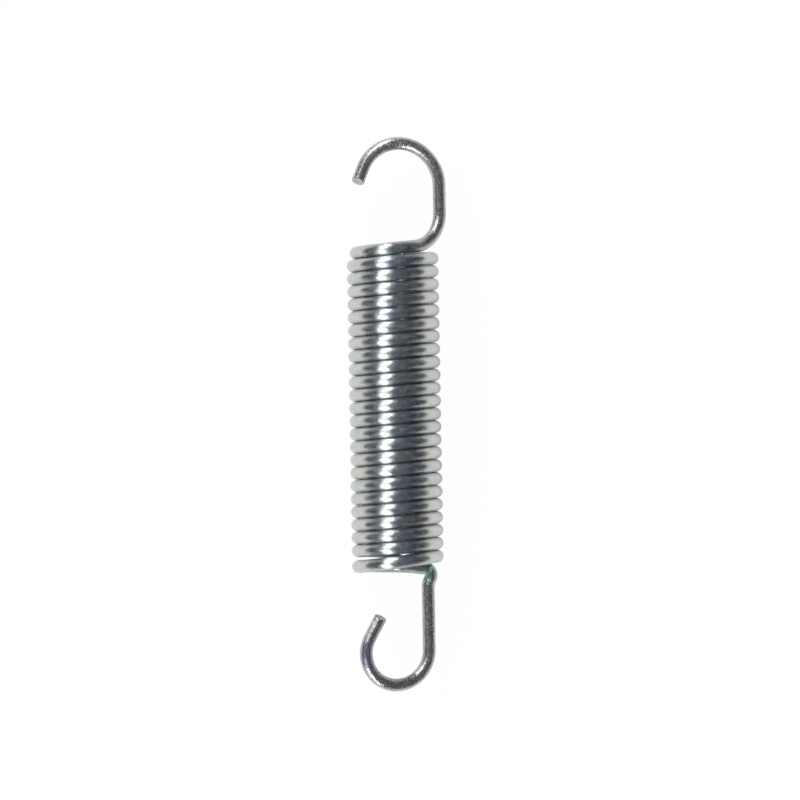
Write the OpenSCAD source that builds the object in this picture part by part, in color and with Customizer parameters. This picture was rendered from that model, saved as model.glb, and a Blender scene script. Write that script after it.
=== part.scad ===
// Extension spring, close wound to the right from one length of round zinc-plated wire,
// with an open hook at each end.
//
// The spring lies on its side. Its axis runs along Y with the wider top hook at +Y and the
// long-legged bottom hook at -Y, X is across, and Z = 0 is the surface that it lies on.
// All of the wire is true round bar: two chains of arcs and straights that start at the
// lowest left crest of the coil, one up the coil to the top hook and one down to the bottom
// hook. Each piece starts where the one before it ends, in the direction in which it ends.

/* [Wire] */
// Diameter of the wire
wire_d = 2.5; // [2:0.1:2.7]

/* [Coil] */
// Mean radius of the coil, axis to centre of the wire
coil_r = 7.75; // [7:0.25:12]
// Whole turns between the two end turns
coil_turns = 24; // [6:1:30]
// Air left between one turn and the next
turn_gap = 0.035; // [0.03:0.005:0.5]
// Rise of the front half of the lowest turn, which is sprung open a little
open_rise = 1.8; // [1.4:0.1:4]

/* [Top hook] */
// How far the last turn is drawn in at the top of the coil
top_draw_in = 0.6; // [0.1:0.1:1.5]
// Angle past the front of the coil at which the wire leaves it
top_leave_angle = 38; // [20:1:50]
// Straight wire before the foot bend
top_run = 0.2; // [0.1:0.1:2]
// Mean radius of the foot bend
top_foot_r = 6.6; // [4:0.1:8]
// Straight leg between the foot and the eye
top_leg = 5.2; // [0.5:0.1:20]
// Mean radius of the eye beside the leg
top_shoulder_r = 8.7; // [7:0.1:12]
// Angle that the shoulder turns through
top_shoulder_angle = 52; // [20:1:80]
// Mean radius of the rest of the eye
top_eye_r = 7.35; // [5:0.05:10]
// Angle that the rest of the eye turns through
top_eye_angle = 106; // [90:1:130]
// Straight wire at the open end
top_tip = 3; // [1.5:0.1:6]

/* [Bottom hook] */
// How much tighter than the coil the half turn is that leads to the hook
end_turn_draw_in = 1.35; // [0.5:0.05:2]
// Fall of that half turn, if it were whole
end_turn_fall = 0.4; // [0.1:0.1:2]
// Angle of the half turn that is really there
end_turn_angle = 120; // [100:1:140]
// Straight wire before the foot bend
bottom_run = 3; // [1:0.1:5]
// Mean radius of the sharp foot bend
bottom_foot_r = 1.7; // [1.5:0.1:3]
// Straight leg between the foot and the eye
bottom_leg = 14.5; // [5:0.5:40]
// How far the hook is turned about its leg, its open side toward the front
bottom_turn = 20; // [0:1:40]
// Mean radius of the first quarter of the eye
bottom_bow_r = 6.8; // [4:0.1:10]
// Mean radius of the rest of the eye
bottom_eye_r = 6.25; // [4:0.05:9]
// Angle that the rest of the eye turns through
bottom_eye_angle = 120; // [90:1:135]
// Straight wire at the open end
bottom_tip = 4.6; // [1.5:0.1:8]

/* [Cut ends] */
// Lean of both cut faces toward the front
cut_lean = 24; // [0:1:35]

/* [Hidden] */
wire_r = wire_d / 2;
pitch = wire_d + turn_gap;
WIRE_FACETS = 32;
ARC_FACETS = 96;
// Length of the short straight that parts two arcs of different radius
LINK = 0.1;
// How much too far an arc turns before its end is cut to the true plane
SPARE_ANGLE = 2;
// Radii of half turns are kept to this step, so that each ends exactly where the next starts
FINE = 0.0001;

FRONT = [0, 0, 1];
UP = [0, 1, 0];
LEFT = [-1, 0, 0];

// A piece of wire is [radius, amount, twist]: an arc of that mean radius through that many
// degrees or, with radius 0, a straight of that length. Twist turns the side toward which the
// wire bends about the wire itself, before the piece starts. A cut end is a straight with the
// lean of its cut as a fourth number.
function arc(radius, angle, twist) = [radius, angle, twist];
function line(length) = [0, length, 0];
function cut_end(length, lean) = [0, length, 0, lean];

// A place on the wire is [point, side, ahead], with side and ahead at right angles
function twisted(at, a) = [at[0], cos(a) * at[1] + sin(a) * cross(at[2], at[1]), at[2]];
function along_arc(at, r, a) = [
  at[0] + r * sin(a) * at[2] + r * (1 - cos(a)) * at[1],
  cos(a) * at[1] - sin(a) * at[2],
  cos(a) * at[2] + sin(a) * at[1]
];
function along_line(at, length) = [at[0] + length * at[2], at[1], at[2]];
function after(at, piece) =
  piece[0] == 0 ? along_line(at, piece[1]) : along_arc(twisted(at, piece[2]), piece[0], piece[1]);
function after_all(at, pieces, k = 0) =
  k == len(pieces) ? at : after_all(after(at, pieces[k]), pieces, k + 1);
// The twist that turns the side at a place as far toward a direction as it goes
function twist_to(at, direction) =
  atan2(direction * cross(at[2], at[1]), direction * at[1]);

// The half turns of the coil, each from one crest to the next: its width, rise and slope
function half_width(k) = k == 2 * coil_turns - 1 ? 2 * coil_r - top_draw_in : 2 * coil_r;
function half_rise(k) = k == 0 ? open_rise : pitch / 2;
function half_slope(k) = k < 0 ? 0 : atan(half_rise(k) / half_width(k));
function half_turn_r(k) = round(norm([half_width(k), half_rise(k)]) / 2 / FINE) * FINE;
function half_turn(k) = arc(half_turn_r(k), 180, half_slope(k - 1) + half_slope(k));

// The way up: coil, part turn over the front, run, foot bend, leg, shoulder, eye and tip
START_UP = [[-coil_r, 0, 0], [1, 0, 0], FRONT];
LAST = 2 * coil_turns - 1;
top_turn_r = coil_r - top_draw_in;
coil = [for (k = [0 : LAST]) half_turn(k)];
top_turn = arc(top_turn_r, 90 + top_leave_angle, half_slope(LAST) + atan(pitch / 4 / top_turn_r));
to_top_foot = concat(coil, [top_turn, line(top_run)]);
top_foot_at = after_all(START_UP, to_top_foot);
top_foot = arc(top_foot_r, acos(top_foot_at[2] * UP), twist_to(top_foot_at, UP));
to_top_leg = concat(to_top_foot, [top_foot]);
top_leg_at = after_all(START_UP, to_top_leg);
top_shoulder_at = along_line(top_leg_at, top_leg);
top_shoulder = arc(top_shoulder_r, top_shoulder_angle, twist_to(top_shoulder_at, LEFT));
to_top_eye = concat(to_top_leg, [line(top_leg), top_shoulder, line(LINK)]);
top_eye_at = after_all(START_UP, to_top_eye);
top_eye_centre = top_eye_at[0] + top_eye_r * top_eye_at[1];
way_up = concat(to_top_eye, [arc(top_eye_r, top_eye_angle, 0), cut_end(top_tip, -cut_lean)]);

// The way down: tighter half turn round the back, run, sharp foot bend, leg, eye and tip
START_DOWN = [[-coil_r, 0, 0], [1, 0, 0], -FRONT];
end_turn_r = coil_r - end_turn_draw_in;
end_turn = arc(end_turn_r, end_turn_angle, atan(end_turn_fall / 2 / end_turn_r));
to_bottom_foot = [end_turn, line(bottom_run)];
bottom_foot_at = after_all(START_DOWN, to_bottom_foot);
bottom_foot = arc(bottom_foot_r, acos(-(bottom_foot_at[2] * UP)), twist_to(bottom_foot_at, -UP));
to_bottom_bow = concat(to_bottom_foot, [bottom_foot, line(bottom_leg)]);
bottom_bow_at = after_all(START_DOWN, to_bottom_bow);
BOTTOM_IN = [-cos(bottom_turn), 0, sin(bottom_turn)];
bottom_bow = arc(bottom_bow_r, 90, twist_to(bottom_bow_at, BOTTOM_IN));
to_bottom_eye = concat(to_bottom_bow, [bottom_bow, line(LINK)]);
bottom_eye_at = after_all(START_DOWN, to_bottom_eye);
bottom_eye_centre = bottom_eye_at[0] + bottom_eye_r * bottom_eye_at[1];
way_down = concat(
  to_bottom_eye, [arc(bottom_eye_r, bottom_eye_angle, 0), cut_end(bottom_tip, cut_lean)]
);

// Outer sizes of the whole spring, and the shift that lays it on Z = 0, centred in X and Y
coil_back = norm([coil_r, pitch / 4]) + wire_r;
x_low = -coil_r - wire_r;
x_high = max(coil_r, top_leg_at[0][0]) + wire_r;
y_low = bottom_eye_at[0][1] - wire_r;
y_high = top_eye_centre[1] + top_eye_r + wire_r;
SHIFT = [-(x_low + x_high) / 2, -(y_low + y_high) / 2, coil_back];

// Everything ahead of a place on the wire, with Z ahead and X the side
module ahead(lean = 0) {
  rotate([lean, 0, 0])
    translate([-wire_d, -2 * wire_d, 0]) cube([2 * wire_d, 4 * wire_d, 2 * wire_d]);
}

// Turns its children about the centre of an arc that starts at the origin
module about_centre(radius, angle) {
  translate([radius, 0, 0]) rotate([0, angle, 0]) translate([-radius, 0, 0]) children();
}

module bent(radius, angle) {
  square_end = angle % 90 == 0;
  difference() {
    translate([radius, 0, 0]) rotate([90, 0, 180])
      rotate_extrude(angle = angle + (square_end ? 0 : SPARE_ANGLE), $fn = ARC_FACETS)
        translate([radius, 0]) circle(r = wire_r, $fn = WIRE_FACETS);
    if (!square_end) about_centre(radius, angle) ahead();
  }
}

module straight(length) {
  cylinder(r = wire_r, h = length, $fn = WIRE_FACETS);
}

module cut_straight(length, lean) {
  difference() {
    straight(length + wire_d);
    translate([0, 0, length]) ahead(lean);
  }
}

module piece(p) {
  rotate([0, 0, p[2]])
    if (p[3] != undef) cut_straight(p[1], p[3]);
    else if (p[0] == 0) straight(p[1]);
    else bent(p[0], p[1]);
}

// Piece k of a chain, reached by way of the pieces before it
module chain_piece(pieces, k, i = 0) {
  p = pieces[i];
  if (i == k)
    piece(p);
  else if (p[0] == 0)
    translate([0, 0, p[1]]) chain_piece(pieces, k, i + 1);
  else if (p[1] == 180)
    rotate([0, 0, p[2]]) translate([2 * p[0], 0, 0]) rotate([0, 180, 0])
      chain_piece(pieces, k, i + 1);
  else
    rotate([0, 0, p[2]]) about_centre(p[0], p[1]) chain_piece(pieces, k, i + 1);
}

// All the pieces of both chains side by side, so that they grow together in one step
module both_chains() {
  ups = len(way_up);
  for (k = [0 : ups + len(way_down) - 1])
    translate([-coil_r, 0, 0])
      if (k < ups) chain_piece(way_up, k);
      else rotate([180, 0, 0]) chain_piece(way_down, k - ups);
}

module spring() {
  color("#9a9da1")
    translate(SHIFT) both_chains();
}

spring();
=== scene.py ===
import math

import bpy
import numpy as np
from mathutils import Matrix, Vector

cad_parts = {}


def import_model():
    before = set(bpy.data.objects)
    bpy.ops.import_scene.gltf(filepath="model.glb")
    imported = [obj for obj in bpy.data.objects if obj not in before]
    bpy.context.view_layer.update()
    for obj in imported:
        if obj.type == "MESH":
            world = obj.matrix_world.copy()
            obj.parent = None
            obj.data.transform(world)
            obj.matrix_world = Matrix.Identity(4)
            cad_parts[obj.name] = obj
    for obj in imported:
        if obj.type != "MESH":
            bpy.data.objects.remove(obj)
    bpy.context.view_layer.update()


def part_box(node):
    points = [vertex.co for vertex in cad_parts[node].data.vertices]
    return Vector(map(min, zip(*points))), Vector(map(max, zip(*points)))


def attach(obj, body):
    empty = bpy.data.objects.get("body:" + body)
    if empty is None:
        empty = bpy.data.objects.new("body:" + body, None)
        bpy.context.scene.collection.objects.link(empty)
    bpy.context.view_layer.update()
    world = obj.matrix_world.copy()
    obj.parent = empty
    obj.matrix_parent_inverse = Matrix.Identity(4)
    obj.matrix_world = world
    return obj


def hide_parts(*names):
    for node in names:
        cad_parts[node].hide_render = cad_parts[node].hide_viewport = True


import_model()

# ---------------------------------------------------------------- sizes, in millimetres
# An arc given by two numbers is its mean radius and its angle in degrees

MM = 0.001
WIRE_D = 2.5
COIL_R = 7.75
COIL_TURNS = 24
TURN_GAP = 0.035
OPEN_RISE = 1.8

TOP_DRAW_IN = 0.6
TOP_LEAVE_ANGLE = 38
TOP_RUN = 0.2
TOP_FOOT_R = 6.6
TOP_LEG = 5.2
TOP_SHOULDER = (8.7, 52)
TOP_EYE = (7.35, 106)
TOP_TIP = 3.0

END_TURN_R = 6.4
END_TURN_FALL = 0.4
END_TURN_ANGLE = 120
BOTTOM_RUN = 3.0
BOTTOM_FOOT_R = 1.7
BOTTOM_LEG = 14.5
BOTTOM_TURN = 20
BOTTOM_BOW_R = 6.8
BOTTOM_EYE = (6.25, 120)
BOTTOM_TIP = 4.6

# The bottom foot as it sprang: a slight dip, the bend, how far too far it goes, the bend back
FOOT_DIP_R = 8.0
FOOT_DIP = 4
FOOT_R = 1.35
FOOT_OVER = 33
FOOT_BACK_R = 3.0
TRIAL_RUN = 1.0

CUT_LEAN = 24
LINK = 0.1

WIRE_R = WIRE_D / 2
PITCH = WIRE_D + TURN_GAP
FRONT, UP, LEFT = np.eye(3)[2], np.eye(3)[1], -np.eye(3)[0]


# ---------------------------------------------------------------- the bends of the wire

def degrees_between(a, b):
    return math.degrees(math.acos(max(-1.0, min(1.0, float(a @ b)))))


class Bender:
    """Feeds and bends the wire as a spring coiler does, and keeps the middle line that it leaves.
    side is where the next bend goes, ahead is where the wire is fed."""

    def __init__(self, start, side, ahead):
        self.at, self.side, self.ahead = (np.array(v, float) for v in (start, side, ahead))
        self.line = [self.at.copy()]

    def copy(self):
        """A coiler that goes on from here with a middle line of its own."""
        return Bender(self.at, self.side, self.ahead)

    def twist(self, angle):
        a = math.radians(angle)
        self.side = math.cos(a) * self.side + math.sin(a) * np.cross(self.ahead, self.side)

    def twist_to(self, way):
        """Turns the side as far toward a direction as it goes."""
        across = way @ np.cross(self.ahead, self.side)
        self.twist(math.degrees(math.atan2(across, way @ self.side)))

    def feed(self, length, step=1.0):
        n = max(1, math.ceil(length / step))
        start = self.at.copy()
        for i in range(1, n + 1):
            self.at = start + self.ahead * length * i / n
            self.line.append(self.at.copy())

    def bend(self, radius, angle, step=3.75):
        n = max(1, math.ceil(angle / step))
        start, side, ahead = self.at.copy(), self.side.copy(), self.ahead.copy()
        for i in range(1, n + 1):
            a = math.radians(angle * i / n)
            self.at = start + radius * math.sin(a) * ahead + radius * (1 - math.cos(a)) * side
            self.side = math.cos(a) * side - math.sin(a) * ahead
            self.ahead = math.cos(a) * ahead + math.sin(a) * side
            self.line.append(self.at.copy())


def wind_up():
    """Coil, part turn over the front, foot, leg and the wide eye of the top hook."""
    w = Bender((-COIL_R, 0, 0), (1, 0, 0), FRONT)
    slope = 0.0
    last = 2 * COIL_TURNS - 1
    for k in range(last + 1):
        width = 2 * COIL_R - (TOP_DRAW_IN if k == last else 0)
        rise = OPEN_RISE if k == 0 else PITCH / 2
        new_slope = math.degrees(math.atan(rise / width))
        w.twist(slope + new_slope)
        w.bend(math.hypot(width, rise) / 2, 180)
        slope = new_slope
    r = COIL_R - TOP_DRAW_IN
    w.twist(slope + math.degrees(math.atan(PITCH / 4 / r)))
    w.bend(r, 90 + TOP_LEAVE_ANGLE)
    w.feed(TOP_RUN)
    w.twist_to(UP)
    w.bend(TOP_FOOT_R, degrees_between(w.ahead, UP), step=3)
    w.feed(TOP_LEG)
    w.twist_to(LEFT)
    w.bend(*TOP_SHOULDER, step=2.5)
    w.feed(LINK)
    w.bend(*TOP_EYE, step=2.5)
    w.feed(TOP_TIP)
    return w


def plain_foot(w):
    """The CAD's foot and leg: run, sharp bend and straight down."""
    w.feed(BOTTOM_RUN)
    w.twist_to(-UP)
    w.bend(BOTTOM_FOOT_R, degrees_between(w.ahead, -UP), step=5)
    w.feed(BOTTOM_LEG)


def sprung_foot(w, run):
    """The same foot bent a little too far and set back, so that it stands out past the leg."""
    w.twist_to(-UP)
    w.bend(FOOT_DIP_R, FOOT_DIP, step=1.5)
    w.feed(run, step=0.5)
    w.bend(FOOT_R, degrees_between(w.ahead, -UP) + FOOT_OVER, step=4)
    w.twist(180)
    w.bend(FOOT_BACK_R, FOOT_OVER, step=4)


def foot(w):
    """The sprung foot, its run and leg as long as they must be to end where the CAD's leg ends."""
    end, trial = w.copy(), w.copy()
    plain_foot(end)
    sprung_foot(trial, TRIAL_RUN)
    flat = np.array([1, 0, 1])
    short = np.linalg.norm((end.at - w.at) * flat) - np.linalg.norm((trial.at - w.at) * flat)
    fall = math.asin(abs(w.ahead @ UP)) + math.radians(FOOT_DIP)
    sprung_foot(w, TRIAL_RUN + short / math.cos(fall))
    w.feed((end.at - w.at) @ w.ahead)


def wind_down():
    """Tighter turn round the back, sharp foot, long leg and the eye of the bottom hook."""
    w = Bender((-COIL_R, 0, 0), (1, 0, 0), -FRONT)
    w.twist(math.degrees(math.atan(END_TURN_FALL / 2 / END_TURN_R)))
    w.bend(END_TURN_R, END_TURN_ANGLE)
    foot(w)
    a = math.radians(BOTTOM_TURN)
    w.twist_to(np.array([-math.cos(a), 0, math.sin(a)]))
    w.bend(BOTTOM_BOW_R, 90, step=2.5)
    w.feed(LINK)
    w.bend(*BOTTOM_EYE, step=2.5)
    w.feed(BOTTOM_TIP)
    return w


# How the last bit of wire before a cut is drawn: (distance before the cut, thickness)
CUT_RINGS = [(1.0, 1), (0.6, 1), (0.3, 1), (0.14, 1), (0.06, 0.985), (0.02, 0.95), (0, 0.9),
             (-0.012, 0.72), (-0.02, 0.5), (-0.024, 0.25), (-0.026, 0.06)]
CUT_REACH = CUT_RINGS[0][0]
CLEAR_OF_CUT = 0.2


def cut_end(w, outward):
    """The last points of a chain: middle, thickness, lean of the cut, and 1 on the cut face.
    The cut leans to the front. outward is 1 where the whole route runs out through this cut,
    and -1 where it comes in."""
    front = FRONT - (FRONT @ w.ahead) * w.ahead
    front *= outward * math.tan(math.radians(CUT_LEAN)) / np.linalg.norm(front)
    return [(w.at - w.ahead * d, thick, front * (1 - max(d, 0) / CUT_REACH), float(d <= 0))
            for d, thick in CUT_RINGS]


def chain(w, outward):
    """All points of a chain from the coil's lowest left crest to its cut end."""
    kept = [p for p in w.line if np.linalg.norm(p - w.at) > CUT_REACH + CLEAR_OF_CUT]
    return [(p, 1.0, np.zeros(3), 0.0) for p in kept] + cut_end(w, outward)


up, down = wind_up(), wind_down()
whole = chain(down, -1)[::-1] + chain(up, 1)[1:]

# Laid on Z = 0 and centred as the CAD's solid is
solid_low, solid_high = (np.array(c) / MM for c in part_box("spring"))
shift = np.array([solid_low[0] + COIL_R + WIRE_R,
                  solid_high[1] - max(p[1] for p in up.line) - WIRE_R,
                  math.hypot(COIL_R, PITCH / 4) + WIRE_R])

route = bpy.data.meshes.new("wire_route")
route.from_pydata([tuple((p + shift) * MM) for p, *_ in whole],
                  [(i, i + 1) for i in range(len(whole) - 1)], [])
for name, kind, column in (("thickness", "FLOAT", 1), ("lean", "FLOAT_VECTOR", 2),
                           ("cut_face", "FLOAT", 3)):
    layer = route.attributes.new(name, kind, "POINT")
    values = np.array([point[column] for point in whole], np.float32).ravel()
    layer.data.foreach_set("vector" if kind == "FLOAT_VECTOR" else "value", values)
wire = bpy.data.objects.new("spring_wire", route)
bpy.context.scene.collection.objects.link(wire)


# ---------------------------------------------------------------- helpers for node trees

def fill(tree, socket, value):
    """Sets a socket to a plain value, or links it to an output."""
    if isinstance(value, bpy.types.NodeSocket):
        tree.links.new(value, socket)
    else:
        socket.default_value = value


def add(tree, kind, inputs=None, **settings):
    """A node with its settings, and its inputs set by name or number to a value or an output."""
    node = tree.nodes.new(kind)
    for name, value in settings.items():
        setattr(node, name, value)
    for key, value in (inputs or {}).items():
        fill(tree, node.inputs[key], value)
    return node


def number(tree, operation, a, b):
    return add(tree, "ShaderNodeMath", {0: a, 1: b}, operation=operation).outputs[0]


def vector(tree, operation, a, b):
    return add(tree, "ShaderNodeVectorMath", {0: a, 1: b}, operation=operation).outputs


def spread(tree, value, low, high, to_low=0.0, to_high=1.0):
    """Spreads the range from low to high over the range from to_low to to_high."""
    return add(tree, "ShaderNodeMapRange",
               {"Value": value, "From Min": low, "From Max": high,
                "To Min": to_low, "To Max": to_high}).outputs["Result"]


def noise(tree, where, scale, detail=2.0, roughness=0.5):
    return add(tree, "ShaderNodeTexNoise", {"Vector": where, "Scale": scale, "Detail": detail,
                                            "Roughness": roughness}).outputs["Fac"]


def scaled(tree, where, factors):
    return vector(tree, "MULTIPLY", where, factors)[0]


def colour_mix(tree, share, a, b, mode="MIX"):
    node = add(tree, "ShaderNodeMix", data_type="RGBA", blend_type=mode)
    for socket, value in ((node.inputs[0], share), (node.inputs[6], a), (node.inputs[7], b)):
        fill(tree, socket, value)
    return node.outputs[2]


# ---------------------------------------------------------------- zinc plating

WARM_ZINC = (0.60, 0.578, 0.535, 1)
GREEN_ZINC = (0.56, 0.585, 0.555, 1)
BLUE_ZINC = (0.56, 0.565, 0.62, 1)
DULL_ZINC = (0.47, 0.465, 0.45, 1)
PALE_SPECK = (0.70, 0.70, 0.68, 1)
HOOK_TINT = (0.90, 0.84, 0.79, 1)
DARK_PIT = (0.16, 0.155, 0.15, 1)
CUT_STEEL = (0.58, 0.575, 0.56, 1)
SHEARED_STEEL = (0.44, 0.435, 0.43, 1)

# Heights along the spring between which the coil's finish goes over into a hook's, in metres
TOP_HOOK_STARTS = (0.033, 0.037)
BOTTOM_HOOK_STARTS = (-0.030, -0.034)

# Stains of the passivation: middle and reach in metres, colour
STAINS = [((0.0056, -0.0303, 0.0065), 0.0028, (0.42, 0.57, 0.53, 1)),
          ((-0.0052, -0.0475, 0.0115), 0.0035, (0.47, 0.455, 0.55, 1))]
STAIN_WANDER = 0.003
STAIN_EDGE = 0.002


def on_hooks(t, where):
    """1 on both hooks and 0 on the coil."""
    height = add(t, "ShaderNodeSeparateXYZ", {0: where}).outputs["Y"]
    return number(t, "ADD", spread(t, height, *TOP_HOOK_STARTS),
                  spread(t, height, *BOTTOM_HOOK_STARTS))


def stained(t, colour, where, mm):
    for centre, reach, tint in STAINS:
        near = vector(t, "DISTANCE", where, centre)["Value"]
        wander = number(t, "MULTIPLY", noise(t, mm, 0.5), STAIN_WANDER)
        patch = number(t, "ADD", near, wander)
        colour = colour_mix(t, spread(t, patch, reach + STAIN_EDGE, reach), colour, tint)
    return colour


def zinc_colour(t, mm, where, cloud, speck, hooked):
    """Passivated zinc is a little warm here and a little green or blue there. It has dull clouds
    and pale specks, and on the hooks it is a shade darker and warmer and has more pits."""
    hue = noise(t, scaled(t, mm, (0.25, 0.25, 0.07)), 1.0)
    blue = noise(t, scaled(t, mm, (0.35, 0.35, 0.11)), 1.7)
    colour = colour_mix(t, spread(t, hue, 0.36, 0.64), WARM_ZINC, GREEN_ZINC)
    colour = colour_mix(t, spread(t, blue, 0.55, 0.75, 0.0, 0.6), colour, BLUE_ZINC)
    colour = colour_mix(t, spread(t, cloud, 0.52, 0.78, 0.0, 0.5), colour, DULL_ZINC)
    colour = colour_mix(t, number(t, "MULTIPLY", speck, 0.6), colour, PALE_SPECK)
    # The hooks are made a shade darker and warmer
    colour = colour_mix(t, hooked, colour, HOOK_TINT, "MULTIPLY")
    pits = spread(t, noise(t, scaled(t, mm, (1, 1, 0.3)), 2.8, 4.0, 0.75), 0.50, 0.64)
    pit_share = number(t, "ADD", number(t, "MULTIPLY", hooked, 0.28), 0.10)
    colour = colour_mix(t, number(t, "MULTIPLY", pits, pit_share), colour, DARK_PIT)
    return stained(t, colour, where, mm)


def cut_colour(t, mm):
    """Bare steel of the cut faces."""
    return colour_mix(t, spread(t, noise(t, mm, 6.0, 3.0), 0.35, 0.65), CUT_STEEL, SHEARED_STEEL)


def plating_roughness(t, cloud, speck, streak, hooked, cut):
    """Duller in clouds, specks and draw marks, glossier on the hooks, and dull on the cut faces."""
    rough = number(t, "ADD", spread(t, cloud, 0.35, 0.75, 0.26, 0.36),
                   number(t, "MULTIPLY", speck, 0.2))
    rough = number(t, "ADD", rough, number(t, "MULTIPLY", hooked, -0.12))
    rough = number(t, "ADD", rough, spread(t, streak, 0.5, 0.7, 0.0, 0.07))
    return number(t, "MAXIMUM", rough, number(t, "MULTIPLY", cut, 0.42))


def bare_metal(t, mm, speck, hooked):
    """How metallic it is: a little less in specks and smudges, and on the hooks."""
    smudge = noise(t, scaled(t, mm, (1, 1, 0.5)), 1.6, 5.0, 0.7)
    bare = number(t, "ADD", number(t, "MULTIPLY", speck, -0.15),
                  spread(t, smudge, 0.50, 0.72, 1.0, 0.87))
    return number(t, "ADD", bare, number(t, "MULTIPLY", hooked, -0.06))


def drawn_relief(t, mm, speck, streak, hooked):
    """Marks of the drawing die, grain, orange peel and specks. All but the marks are deeper on
    the hooks. The depths are in millimetres."""
    grain = noise(t, scaled(t, mm, (1, 1, 0.3)), 3.0, 3.0, 0.6)
    peel = noise(t, mm, 1.2)
    deeper = number(t, "ADD", number(t, "MULTIPLY", hooked, 0.40), 0.25)
    normal = None
    for height, depth, share in ((streak, 0.060, 1.0), (grain, 0.085, deeper),
                                 (peel, 0.060, deeper), (speck, 0.012, deeper)):
        inputs = {"Height": height, "Strength": share, "Distance": depth * MM}
        if normal is not None:
            inputs["Normal"] = normal
        normal = add(t, "ShaderNodeBump", inputs).outputs[0]
    return normal


def zinc_plating():
    """Bright zinc over drawn wire. Its patterns follow the wire, in millimetres: across it in X
    and Y, and along it in Z."""
    mat = bpy.data.materials.new("zinc_plating")
    mat.use_nodes = True
    t = mat.node_tree
    t.nodes.clear()

    def left_by_wire(name, output):
        return add(t, "ShaderNodeAttribute", attribute_name=name).outputs[output]

    mm = scaled(t, left_by_wire("wire_place", "Vector"), (1000, 1000, 1000))
    ahead = left_by_wire("wire_ahead", "Vector")
    cut = left_by_wire("cut_face", "Fac")
    where = add(t, "ShaderNodeTexCoord").outputs["Object"]
    hooked = on_hooks(t, where)
    cloud = noise(t, scaled(t, mm, (1, 1, 0.4)), 1.1, 4.0, 0.6)
    speck = spread(t, noise(t, mm, 2.6, 3.0, 0.75), 0.565, 0.65)
    streak = noise(t, scaled(t, mm, (1, 1, 0.04)), 2.6, 3.0, 0.6)

    # The fine draw marks run along the wire, so the gloss is spread round it
    outward = add(t, "ShaderNodeNewGeometry").outputs["Normal"]
    around = vector(t, "CROSS_PRODUCT", ahead, outward)[0]
    zinc = zinc_colour(t, mm, where, cloud, speck, hooked)
    surface = add(t, "ShaderNodeBsdfPrincipled", {
        "Base Color": colour_mix(t, cut, zinc, cut_colour(t, mm)),
        "Metallic": bare_metal(t, mm, speck, hooked),
        "Roughness": plating_roughness(t, cloud, speck, streak, hooked, cut),
        "Anisotropic": 0.9,
        "Tangent": around,
        "Normal": drawn_relief(t, mm, speck, streak, hooked)})
    add(t, "ShaderNodeOutputMaterial", {"Surface": surface.outputs[0]})
    return mat


# ---------------------------------------------------------------- the wire along its route

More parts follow.
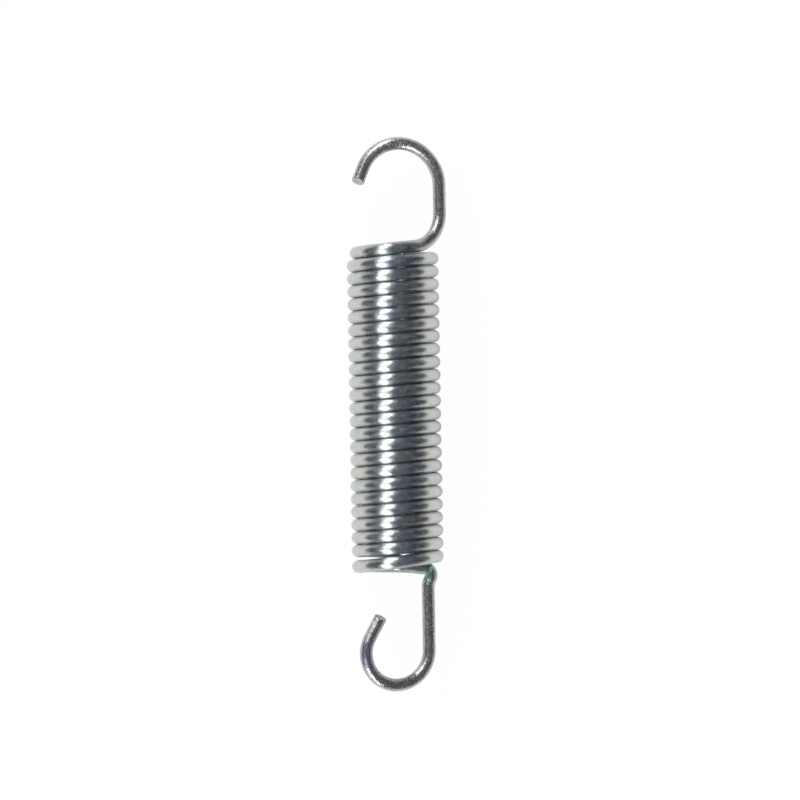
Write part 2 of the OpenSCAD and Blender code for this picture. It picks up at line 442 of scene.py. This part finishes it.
def wire_tree():
    """Geometry Nodes: a round wire of a given radius along the route, with its leaning cut faces.
    It leaves wire_place, the place in the wire as if it were straight, in metres, and wire_ahead,
    the way that the wire runs."""
    t = bpy.data.node_groups.new("drawn_wire", "GeometryNodeTree")
    face = t.interface
    face.new_socket("Route", in_out="INPUT", socket_type="NodeSocketGeometry")
    for name, kind, value in (("Wire radius", "NodeSocketFloat", 0.001),
                              ("Sides", "NodeSocketInt", 16)):
        face.new_socket(name, in_out="INPUT", socket_type=kind).default_value = value
    face.new_socket("Finish", in_out="INPUT", socket_type="NodeSocketMaterial")
    face.new_socket("Wire", in_out="OUTPUT", socket_type="NodeSocketGeometry")
    given = add(t, "NodeGroupInput").outputs

    def named(name, kind):
        return add(t, "GeometryNodeInputNamedAttribute", {"Name": name},
                   data_type=kind).outputs["Attribute"]

    def position():
        return add(t, "GeometryNodeInputPosition").outputs[0]

    def marked(geometry, name, value):
        return add(t, "GeometryNodeStoreNamedAttribute",
                   {"Geometry": geometry, "Name": name, "Value": value},
                   data_type="FLOAT_VECTOR", domain="POINT").outputs[0]

    # Each point of the route keeps its place, its direction and its distance from the start
    curve = add(t, "GeometryNodeMeshToCurve", {"Mesh": given["Route"]}).outputs[0]
    hold = add(t, "GeometryNodeCaptureAttribute", {"Geometry": curve}, domain="POINT")
    for kind, name in (("VECTOR", "middle"), ("VECTOR", "ahead"), ("FLOAT", "along")):
        hold.capture_items.new(kind, name)
    t.links.new(position(), hold.inputs["middle"])
    t.links.new(add(t, "GeometryNodeInputTangent").outputs[0], hold.inputs["ahead"])
    t.links.new(add(t, "GeometryNodeSplineParameter").outputs["Length"], hold.inputs["along"])

    # Each point of the round section keeps its place across the wire
    ring = add(t, "GeometryNodeCurvePrimitiveCircle",
               {"Resolution": given["Sides"], "Radius": given["Wire radius"]},
               mode="RADIUS").outputs[0]
    ring_hold = add(t, "GeometryNodeCaptureAttribute", {"Geometry": ring}, domain="POINT")
    ring_hold.capture_items.new("VECTOR", "across")
    t.links.new(position(), ring_hold.inputs["across"])

    body = add(t, "GeometryNodeCurveToMesh", {"Curve": hold.outputs["Geometry"],
                                              "Profile Curve": ring_hold.outputs["Geometry"],
                                              "Scale": named("thickness", "FLOAT"),
                                              "Fill Caps": True}).outputs[0]

    # The rings near a cut slide along the wire, so that its face leans
    from_middle = vector(t, "SUBTRACT", position(), hold.outputs["middle"])[0]
    toward = vector(t, "DOT_PRODUCT", from_middle, named("lean", "FLOAT_VECTOR"))["Value"]
    back = number(t, "MULTIPLY", toward, -1.0)
    slide = add(t, "ShaderNodeVectorMath", {0: hold.outputs["ahead"], "Scale": back},
                operation="SCALE").outputs[0]
    cut = add(t, "GeometryNodeSetPosition", {"Geometry": body, "Offset": slide}).outputs[0]

    across = add(t, "ShaderNodeSeparateXYZ", {0: ring_hold.outputs["across"]})
    place = add(t, "ShaderNodeCombineXYZ", {"X": across.outputs["X"], "Y": across.outputs["Y"],
                                            "Z": hold.outputs["along"]}).outputs[0]
    done = marked(cut, "wire_place", place)
    done = marked(done, "wire_ahead", hold.outputs["ahead"])
    done = add(t, "GeometryNodeSetShadeSmooth", {"Geometry": done}).outputs[0]
    done = add(t, "GeometryNodeRealizeInstances", {"Geometry": done}).outputs[0]
    done = add(t, "GeometryNodeSetMaterial",
               {"Geometry": done, "Material": given["Finish"]}).outputs[0]
    add(t, "NodeGroupOutput", {"Wire": done})
    return t


def made_plain(obj, tree, **values):
    """Runs a tree on an object, with its inputs set by name, and keeps the result as the
    object's own mesh."""
    modifier = obj.modifiers.new("made", "NODES")
    modifier.node_group = tree
    for item in tree.interface.items_tree:
        if item.in_out == "INPUT" and item.name in values:
            modifier[item.identifier] = values[item.name]
    evaluated = obj.evaluated_get(bpy.context.evaluated_depsgraph_get())
    mesh = bpy.data.meshes.new_from_object(evaluated)
    obj.modifiers.remove(modifier)
    obj.data = mesh
    mesh.name = obj.name


def unrolled(mesh, strips=13, gap=0.3, edge=1.0, spare=0.5):
    """A UV map of the wire as if it were rolled out flat and cut into strips side by side,
    with the two cut faces in the margin above them. All in millimetres: the gap from one strip to
    the next, the empty edge below them, and how much longer a strip is than it must be."""
    count = len(mesh.vertices)

    def values(name, width):
        found = np.zeros(count * width, np.float32)
        mesh.attributes[name].data.foreach_get("vector" if width == 3 else "value", found)
        return found.reshape(count, width)

    place = values("wire_place", 3) / MM
    thick, cut = values("thickness", 1)[:, 0], values("cut_face", 1)[:, 0]
    round_length = 2 * math.pi * WIRE_R
    strip = math.ceil(place[:, 2].max() / strips) + spare
    side = max(strips * (round_length + gap), strip + 2 * edge + WIRE_D + 2 * gap)
    first_face, next_face = 2, 4
    corner = np.zeros(len(mesh.loops), np.int64)
    mesh.loops.foreach_get("vertex_index", corner)
    uv = np.zeros((len(corner), 2))
    for face in mesh.polygons:
        at = slice(face.loop_start, face.loop_start + face.loop_total)
        points = place[corner[at]]
        if cut[corner[at]].min() > 0.5:
            end = 0 if points[0, 2] < strip else 1
            flat = points[:, :2] * thick[corner[at]][:, None]
            uv[at] = flat + (first_face + next_face * end, side - WIRE_R - gap)
            continue
        turn = np.arctan2(points[:, 1], points[:, 0]) % (2 * math.pi)
        if turn.max() - turn.min() > math.pi:
            turn[turn < math.pi] += 2 * math.pi
        k = int(points[:, 2].mean() // strip)
        uv[at, 0] = turn * WIRE_R + gap / 2 + k * (round_length + gap)
        uv[at, 1] = points[:, 2] - k * strip + edge
    mesh.uv_layers.new(name="OFBake").data.foreach_set("uv", (uv / side).ravel())


made_plain(wire, wire_tree(), **{"Wire radius": WIRE_R * MM, "Sides": 32,
                                 "Finish": zinc_plating()})
unrolled(wire.data)
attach(wire, "root")
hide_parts("spring")


# ---------------------------------------------------------------- floor, light and camera
# From here on, lengths are in metres

WHITE = (1, 1, 1, 1)
PAPER = (0.74, 0.74, 0.74, 1)
CEILING = (0.086, 0.118, 0.164, 1)
CEILING_ASIDE = (0.034, 0.047, 0.073, 1)
SOFT_LIGHT = (0.85, 0.85, 0.85, 1)
LAMP_COLOUR = (0.91, 0.98, 1.05)
LAMP_FAR = 0.7
STRIP_AZIMUTH = 31
FLOOR_REACH = 3.0

LEAN_OF_PICTURE = math.radians(1.0)
PX_PER_MM = 5.105
PICTURE_PX = 800
SENSOR = 36.0
LENS = 275.0
AIM = (0.00018, 0.002825)


def floor():
    """White paper, which the camera sees as white but for a share that keeps the shadow."""
    mesh = bpy.data.meshes.new("floor")
    r = FLOOR_REACH
    mesh.from_pydata([(-r, -r, 0), (r, -r, 0), (r, r, 0), (-r, r, 0)], [], [(0, 1, 2, 3)])
    obj = bpy.data.objects.new("floor", mesh)
    bpy.context.scene.collection.objects.link(obj)
    mat = bpy.data.materials.new("white_floor")
    mat.use_nodes = True
    t = mat.node_tree
    t.nodes.clear()
    rays = add(t, "ShaderNodeLightPath").outputs
    paper = add(t, "ShaderNodeBsdfDiffuse", {"Color": PAPER})
    glow = add(t, "ShaderNodeEmission", {"Color": WHITE, "Strength": 1.0})
    share = number(t, "ADD", number(t, "MULTIPLY", rays["Is Camera Ray"], 0.97),
                   number(t, "MULTIPLY", rays["Is Glossy Ray"], 0.15))
    mixed = add(t, "ShaderNodeMixShader", {0: share, 1: paper.outputs[0], 2: glow.outputs[0]})
    add(t, "ShaderNodeOutputMaterial", {"Surface": mixed.outputs[0]})
    mesh.materials.append(mat)


def world():
    """White to the camera. The metal mirrors a dim blue ceiling, darker aside, and white below
    it. All else gets an even soft light."""
    w = bpy.data.worlds.new("studio")
    bpy.context.scene.world = w
    w.use_nodes = True
    t = w.node_tree
    t.nodes.clear()
    rays = add(t, "ShaderNodeLightPath").outputs
    way = add(t, "ShaderNodeTexCoord").outputs["Generated"]
    way = add(t, "ShaderNodeSeparateXYZ", {0: way}).outputs
    aside = number(t, "MAXIMUM", spread(t, way["X"], 0.32, 0.60),
                   spread(t, way["X"], -0.72, -0.92))
    ceiling = colour_mix(t, aside, CEILING, CEILING_ASIDE)
    room = colour_mix(t, spread(t, way["Z"], 0.0, 0.05), WHITE, ceiling)
    seen = colour_mix(t, rays["Is Glossy Ray"], SOFT_LIGHT, room)
    seen = colour_mix(t, rays["Is Camera Ray"], seen, WHITE)
    background = add(t, "ShaderNodeBackground", {"Color": seen, "Strength": 1.0})
    add(t, "ShaderNodeOutputWorld", {"Surface": background.outputs[0]})


def strip_light(name, reach, side, width, brightness):
    """A long lamp to the left of the camera, in line with the spring. It reaches from one
    distance to another from the middle, toward the top hook where side is 1 and toward the
    bottom hook where it is -1. brightness is that of its face, where 1 is white."""
    length = reach[1] - reach[0]
    lamp = bpy.data.lights.new(name, "AREA")
    lamp.shape, lamp.size, lamp.size_y = "RECTANGLE", width, length
    lamp.color = LAMP_COLOUR
    lamp.energy = brightness * math.pi * width * length
    obj = bpy.data.objects.new(name, lamp)
    a = math.radians(STRIP_AZIMUTH)
    obj.location = (-LAMP_FAR * math.sin(a), side * sum(reach) / 2, LAMP_FAR * math.cos(a))
    obj.rotation_euler = (0, -a, 0)
    obj.visible_camera = False
    bpy.context.scene.collection.objects.link(obj)


def camera():
    """Looks straight down on the spring as it lies, so that the coil runs up the picture and
    leans 1 degree."""
    data = bpy.data.cameras.new("camera")
    data.sensor_width, data.lens = SENSOR, LENS
    obj = bpy.data.objects.new("camera", data)
    distance = LENS / SENSOR * PICTURE_PX / PX_PER_MM * MM
    obj.location = (*AIM, shift[2] * MM + distance)
    obj.rotation_euler = (0, 0, -LEAN_OF_PICTURE)
    bpy.context.scene.collection.objects.link(obj)
    bpy.context.scene.camera = obj


floor()
world()
for side, glint in ((1, 3.2), (-1, 2.4)):
    strip_light("near_strip", (0.20, 0.45), side, 0.22, glint)
    strip_light("far_strip", (0.45, 2.8), side, 0.24, 8.4)
strip_light("middle_strip", (-0.20, 0.20), 1, 0.16, 0.35)
camera()
bpy.context.scene.view_settings.view_transform = "Standard"
